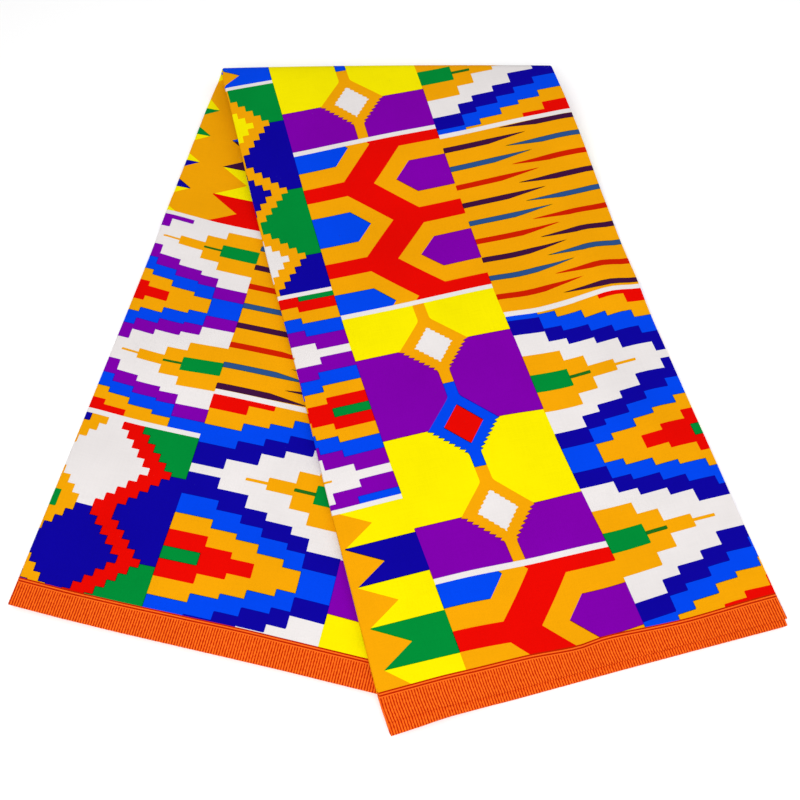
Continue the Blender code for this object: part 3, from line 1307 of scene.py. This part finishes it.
@dataclass(frozen=True)
class WaxPrint:
    """The whole print: its columns side by side, and the border at both ends of the cloth."""

    column_width: float = 125.0
    first_column: int = -7
    columns: tuple[Column, ...] = (
        Column(Chart.RINGS, 255.0, 0.0),
        Column(Chart.STRIPES, 143.0, 0.0),
        Column(Chart.FLAGS, 0.5, 0.0),
        Column(Chart.STRIPES, 80.0, 0.0),
        Column(Chart.FLAGS, 40.0, 0.0),
        Column(Chart.RINGS, 120.0, 0.0),
        Column(Chart.STRIPES, 210.0, 0.0),
        Column(Chart.FLAGS, 0.0, 0.0125),
        Column(Chart.RINGS, 0.0, 0.0),
        Column(Chart.STRIPES, 0.0, 0.0),
    )
    stretched_from: float = 157.0
    overlap: float = 0.22
    cloth_length: float = 1120.0
    border: float = 22.5
    ribbed: float = 18.7
    rib_pitch: float = 1.88
    border_lines: tuple[tuple[float, Ink], ...] = (
        (0.0, Ink.BORDER_BAND), (19.4, Ink.BORDER_LINE), (20.5, Ink.BORDER_BAND), (21.4, Ink.BORDER_LINE),
    )

    def charted(self, painter: Painter, over: Reading, up: Reading) -> bpy.types.NodeSocket:
        """Draws the columns side by side.

        Args:
            painter: What lays the inks.
            over: Across the print, in millimetres.
            up: Up the print, in millimetres.

        Returns:
            The colour.
        """
        tree = painter.tree
        number = (over / self.column_width).worked("FLOOR")
        x = over - number * self.column_width
        place = number - (self.first_column - 0.5)
        marks = [tuple(float(one.chart is chart) for chart in Chart) + (1.0,) for one in self.columns]
        shifts = [(one.rise / MM, one.stretch, 0.0, 1.0) for one in self.columns]
        kind = painter.bands(place, len(marks), tuple(enumerate(marks)))
        shift = painter.bands(place, len(shifts), tuple(enumerate(shifts)))
        marked = add_node(tree, "ShaderNodeSeparateColor", kind)
        shifted = add_node(tree, "ShaderNodeSeparateColor", shift)
        rise, stretch = (Reading(tree, shifted.outputs[one]) for one in (0, 1))
        y = up + rise * MM + stretch * (up - self.stretched_from)
        rings = Reading(tree, marked.outputs[Chart.RINGS.value])
        stripes = Reading(tree, marked.outputs[Chart.STRIPES.value])
        colour = painter.over(FlagColumn().draw(painter, x, y), RingColumn().draw(painter, x, y), rings)
        return painter.over(colour, StripeColumn().draw(painter, x, y), stripes)

    def overprinted(self, painter: Painter, over: Reading, up: Reading) -> bpy.types.NodeSocket:
        """Draws the columns with the thin dark lines where neighbouring inks overlap.

        Args:
            painter: What lays the inks.
            over: Across the print, in millimetres.
            up: Up the print, in millimetres.

        Returns:
            The colour.
        """
        shifts = (-self.overlap, self.overlap)
        near, far = (self.charted(painter, over + shift, up + shift) for shift in shifts)
        return painter.over(near, far, 1.0, "DARKEN")

    def from_the_end(self, up: Reading) -> Reading:
        """Works out how far a point is from the nearer end of the cloth, in millimetres."""
        return (self.cloth_length - up).worked("MINIMUM", up)

    def bordered(self, painter: Painter, colour: object, end: Reading, rib: Reading) -> bpy.types.NodeSocket:
        """Lays the border over the columns: fine ribs of two oranges, under two lines.

        Args:
            painter: What lays the inks.
            colour: The columns' colour.
            end: How far it is to the nearer end of the cloth, in millimetres.
            rib: 1 on a rib, and 0 between two.

        Returns:
            The colour.
        """
        ribs = painter.over(Ink.BORDER_LINE, Ink.BORDER, rib)
        lines = painter.bands(end, self.border + 1, self.border_lines)
        return painter.over(colour, painter.over(lines, ribs, end < self.ribbed), end < self.border)


@dataclass(frozen=True)
class PrintedCotton:
    """Wax print cotton: plain-woven, printed with strong inks on both faces, and lightly glazed.

    The glaze leaves a soft, low shine and the threads a fine grain that shows only close up.
    """

    roughness: float = 0.62
    roughness_range: float = 0.16
    shine_scale: float = 60.0
    specular: float = 0.01
    thread: float = 0.45  # the real threads lie 0.3 mm apart, drawn half as coarse again so that they show
    thread_height: float = 0.00006
    weave_relief: float = 0.5
    rib_relief: float = 2.5
    rib_contrast: float = 1.5
    rib_breadth: float = 0.35
    slub_across: float = 1.1
    slub_along: float = 16.0
    slub_tone: float = 0.04
    speckle: float = 1.8
    speckle_tone: float = 1.2
    # The soft clouds' size and strength: partly random tone, partly painted shade of the cloth's slight waves
    cloud: float = 55.0
    cloud_and_shade_tone: float = 0.14
    darkest: float = 0.89
    design: WaxPrint = field(default_factory=WaxPrint)

    def make(self) -> bpy.types.Material:
        """Makes the material.

        Returns:
            The printed cotton.
        """
        material = bpy.data.materials.new("wax_print_cotton")
        material.use_nodes = True
        tree = material.node_tree
        tree.nodes.clear()
        painter = Painter(tree)
        cloth = add_node(tree, "ShaderNodeUVMap", uv_map="Cloth").outputs[0]
        place = add_node(tree, "ShaderNodeUVMap", uv_map="Print").outputs[0]
        axes = add_node(tree, "ShaderNodeSeparateXYZ", cloth)
        charts = add_node(tree, "ShaderNodeSeparateXYZ", place)
        u, v = (Reading(tree, axes.outputs[one]) * MM for one in (0, 1))
        over, up = (Reading(tree, charts.outputs[one]) * MM for one in (0, 1))

        end = self.design.from_the_end(v)
        in_border = end < self.design.border
        rib = u.there_and_back(self.design.rib_pitch / 2) / (self.design.rib_pitch / 2)
        speckle = add_node(tree, "ShaderNodeTexNoise", cloth, MM / self.speckle, 2.0, noise_dimensions="2D")
        speckled = Reading(tree, speckle.outputs[0]) * self.speckle_tone
        uneven_rib = rib * self.rib_contrast - speckled + self.rib_breadth
        colour = self.design.overprinted(painter, over, up)
        colour = self.design.bordered(painter, colour, end, uneven_rib)
        colour = self.toned(tree, colour, cloth)

        turns = 2 * pi / self.thread
        weave = (u * turns).worked("SINE") * (v * turns).worked("SINE")
        height = weave * self.weave_relief + (rib & in_border) * self.rib_relief
        bump = add_node(tree, "ShaderNodeBump", 1.0, self.thread_height, None, height)
        shine = add_node(tree, "ShaderNodeTexNoise", cloth, self.shine_scale, 3.0, noise_dimensions="2D")
        smoothest = self.roughness - self.roughness_range / 2
        rough = Reading(tree, shine.outputs[0]).worked("MULTIPLY_ADD", self.roughness_range, smoothest)

        shader = tree.nodes.new("ShaderNodeBsdfPrincipled")
        tree.links.new(colour, shader.inputs["Base Color"])
        tree.links.new(rough.socket, shader.inputs["Roughness"])
        tree.links.new(bump.outputs[0], shader.inputs["Normal"])
        shader.inputs["Specular IOR Level"].default_value = self.specular
        add_node(tree, "ShaderNodeOutputMaterial", shader.outputs[0])
        return material

    def toned(
        self, tree: bpy.types.NodeTree, colour: object, cloth: bpy.types.NodeSocket
    ) -> bpy.types.NodeSocket:
        """Gives a colour the slight streaks of its threads, and soft clouds that are partly random tone and
        partly painted shade of the cloth's slight waves.

        Args:
            tree: The material's node tree.
            colour: The print's colour.
            cloth: The place on the flat cloth.

        Returns:
            The colour.
        """
        fine, long = MM / self.slub_across, MM / self.slub_along
        streaks = []
        for stretch in ((fine, long, 1.0), (long, fine, 1.0)):
            scaled = add_node(tree, "ShaderNodeMapping", cloth, None, None, stretch).outputs[0]
            streak = add_node(tree, "ShaderNodeTexNoise", scaled, 1.0, 1.0, noise_dimensions="2D")
            streaks.append(Reading(tree, streak.outputs[0]))
        # Soft clouds of tone: partly random unevenness, partly painted shade that stands in for the cloth's
        # slight waves
        clouds = add_node(tree, "ShaderNodeTexNoise", cloth, MM / self.cloud, 2.0, noise_dimensions="2D")
        clouds_and_painted_shade = Reading(tree, clouds.outputs[0]) * self.cloud_and_shade_tone
        tone = (streaks[0] + streaks[1]) * self.slub_tone + clouds_and_painted_shade + self.darkest
        shaded = add_node(tree, "ShaderNodeVectorMath", colour, None, None, None, operation="SCALE")
        tree.links.new(tone.socket, shaded.inputs["Scale"])
        return shaded.outputs[0]


@dataclass(frozen=True)
class BackgroundPaper:
    """Matt white background paper, with a faint grain in its shine."""

    colour: str = "#FBFBFB"
    specular: float = 0.1
    roughness: float = 0.9
    roughness_range: float = 0.1
    grain_scale: float = 900.0

    def make(self) -> bpy.types.Material:
        """Makes the material.

        Returns:
            The paper.
        """
        material = bpy.data.materials.new("matt_background_paper")
        material.use_nodes = True
        tree = material.node_tree
        shader = tree.nodes["Principled BSDF"]
        shader.inputs["Base Color"].default_value = linear(self.colour)
        shader.inputs["Specular IOR Level"].default_value = self.specular
        place = add_node(tree, "ShaderNodeTexCoord").outputs["Object"]
        grain = add_node(tree, "ShaderNodeTexNoise", place, self.grain_scale, 2.0)
        smoothest = self.roughness - self.roughness_range / 2
        rough = Reading(tree, grain.outputs[0]).worked("MULTIPLY_ADD", self.roughness_range, smoothest)
        tree.links.new(rough.socket, shader.inputs["Roughness"])
        return material


class Lamp(NamedTuple):
    """A large soft round light: its place, what it points at, its size, its power and its spread."""

    name: str
    place: tuple[float, float, float]
    aim: tuple[float, float, float]
    size: float
    power: float
    spread: float


@dataclass(frozen=True)
class Studio:
    """A pale table under large soft lights, and the camera that looks down on it."""

    table_size: float = 6.0
    table_drop: float = 0.0003
    camera_place: tuple[float, float, float] = (-0.00226, -0.52092, 0.80)
    camera_turn: tuple[float, float, float] = (radians(31.0), 0.0, radians(-0.9))
    lens: float = 55.35
    sensor: float = 36.0
    sky: float = 0.70
    lamps: tuple[Lamp, ...] = (
        Lamp("key", (-0.15, -0.95, 1.2), (0.02, -0.06, 0.0), 1.2, 4.4, radians(82)),
        Lamp("fill", (0.9, 0.0, 1.2), (0.0, 0.0, 0.0), 1.2, 1.7, radians(180)),
    )

    def table(self) -> bpy.types.Object:
        """Makes the surface that the cloth lies on.

        Returns:
            The table.
        """
        mesh = bpy.data.meshes.new("floor")
        shape = bmesh.new()
        bmesh.ops.create_grid(shape, x_segments=1, y_segments=1, size=self.table_size / 2)
        bmesh.ops.translate(shape, verts=shape.verts, vec=(0.0, 0.0, -self.table_drop))
        shape.to_mesh(mesh)
        shape.free()
        floor = bpy.data.objects.new("floor", mesh)
        bpy.context.scene.collection.objects.link(floor)
        mesh.materials.append(BackgroundPaper().make())
        return floor

    def lights(self) -> None:
        """Makes an even white surround, and the lamps above the table."""
        world = bpy.data.worlds.new("studio")
        world.use_nodes = True
        background = world.node_tree.nodes["Background"]
        background.inputs["Color"].default_value = (1.0, 1.0, 1.0, 1.0)
        background.inputs["Strength"].default_value = self.sky
        bpy.context.scene.world = world
        for one in self.lamps:
            light = bpy.data.lights.new(one.name, "AREA")
            light.shape = "DISK"
            light.size = one.size
            light.energy = one.power
            light.spread = one.spread
            lamp = bpy.data.objects.new(one.name, light)
            lamp.location = one.place
            aim = Vector(one.aim) - Vector(one.place)
            lamp.rotation_euler = aim.to_track_quat("-Z", "Y").to_euler()
            bpy.context.scene.collection.objects.link(lamp)

    def camera(self) -> bpy.types.Object:
        """Makes the camera, at the photograph's place and angle.

        Returns:
            The camera.
        """
        data = bpy.data.cameras.new("camera")
        data.lens = self.lens
        data.sensor_width = self.sensor
        camera = bpy.data.objects.new("camera", data)
        camera.location = self.camera_place
        camera.rotation_euler = self.camera_turn
        bpy.context.scene.collection.objects.link(camera)
        bpy.context.scene.camera = camera
        return camera


def main() -> None:
    """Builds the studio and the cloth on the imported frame."""
    logging.basicConfig(level=logging.INFO, format="%(name)s: %(message)s")
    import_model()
    scene = bpy.context.scene
    # The print's inks are strong, and this view shows them as they are, where the default one pales them
    scene.view_settings.view_transform = "Standard"
    studio = Studio()
    studio.table()
    studio.lights()
    studio.camera()
    LOG.info("studio: table, lights and camera")
    cloth = FoldedCloth()
    made = cloth.build(PrintedCotton().make())
    LOG.info("%s: %d faces", made.name, len(made.data.polygons))


if __name__ == "__main__":
    main()
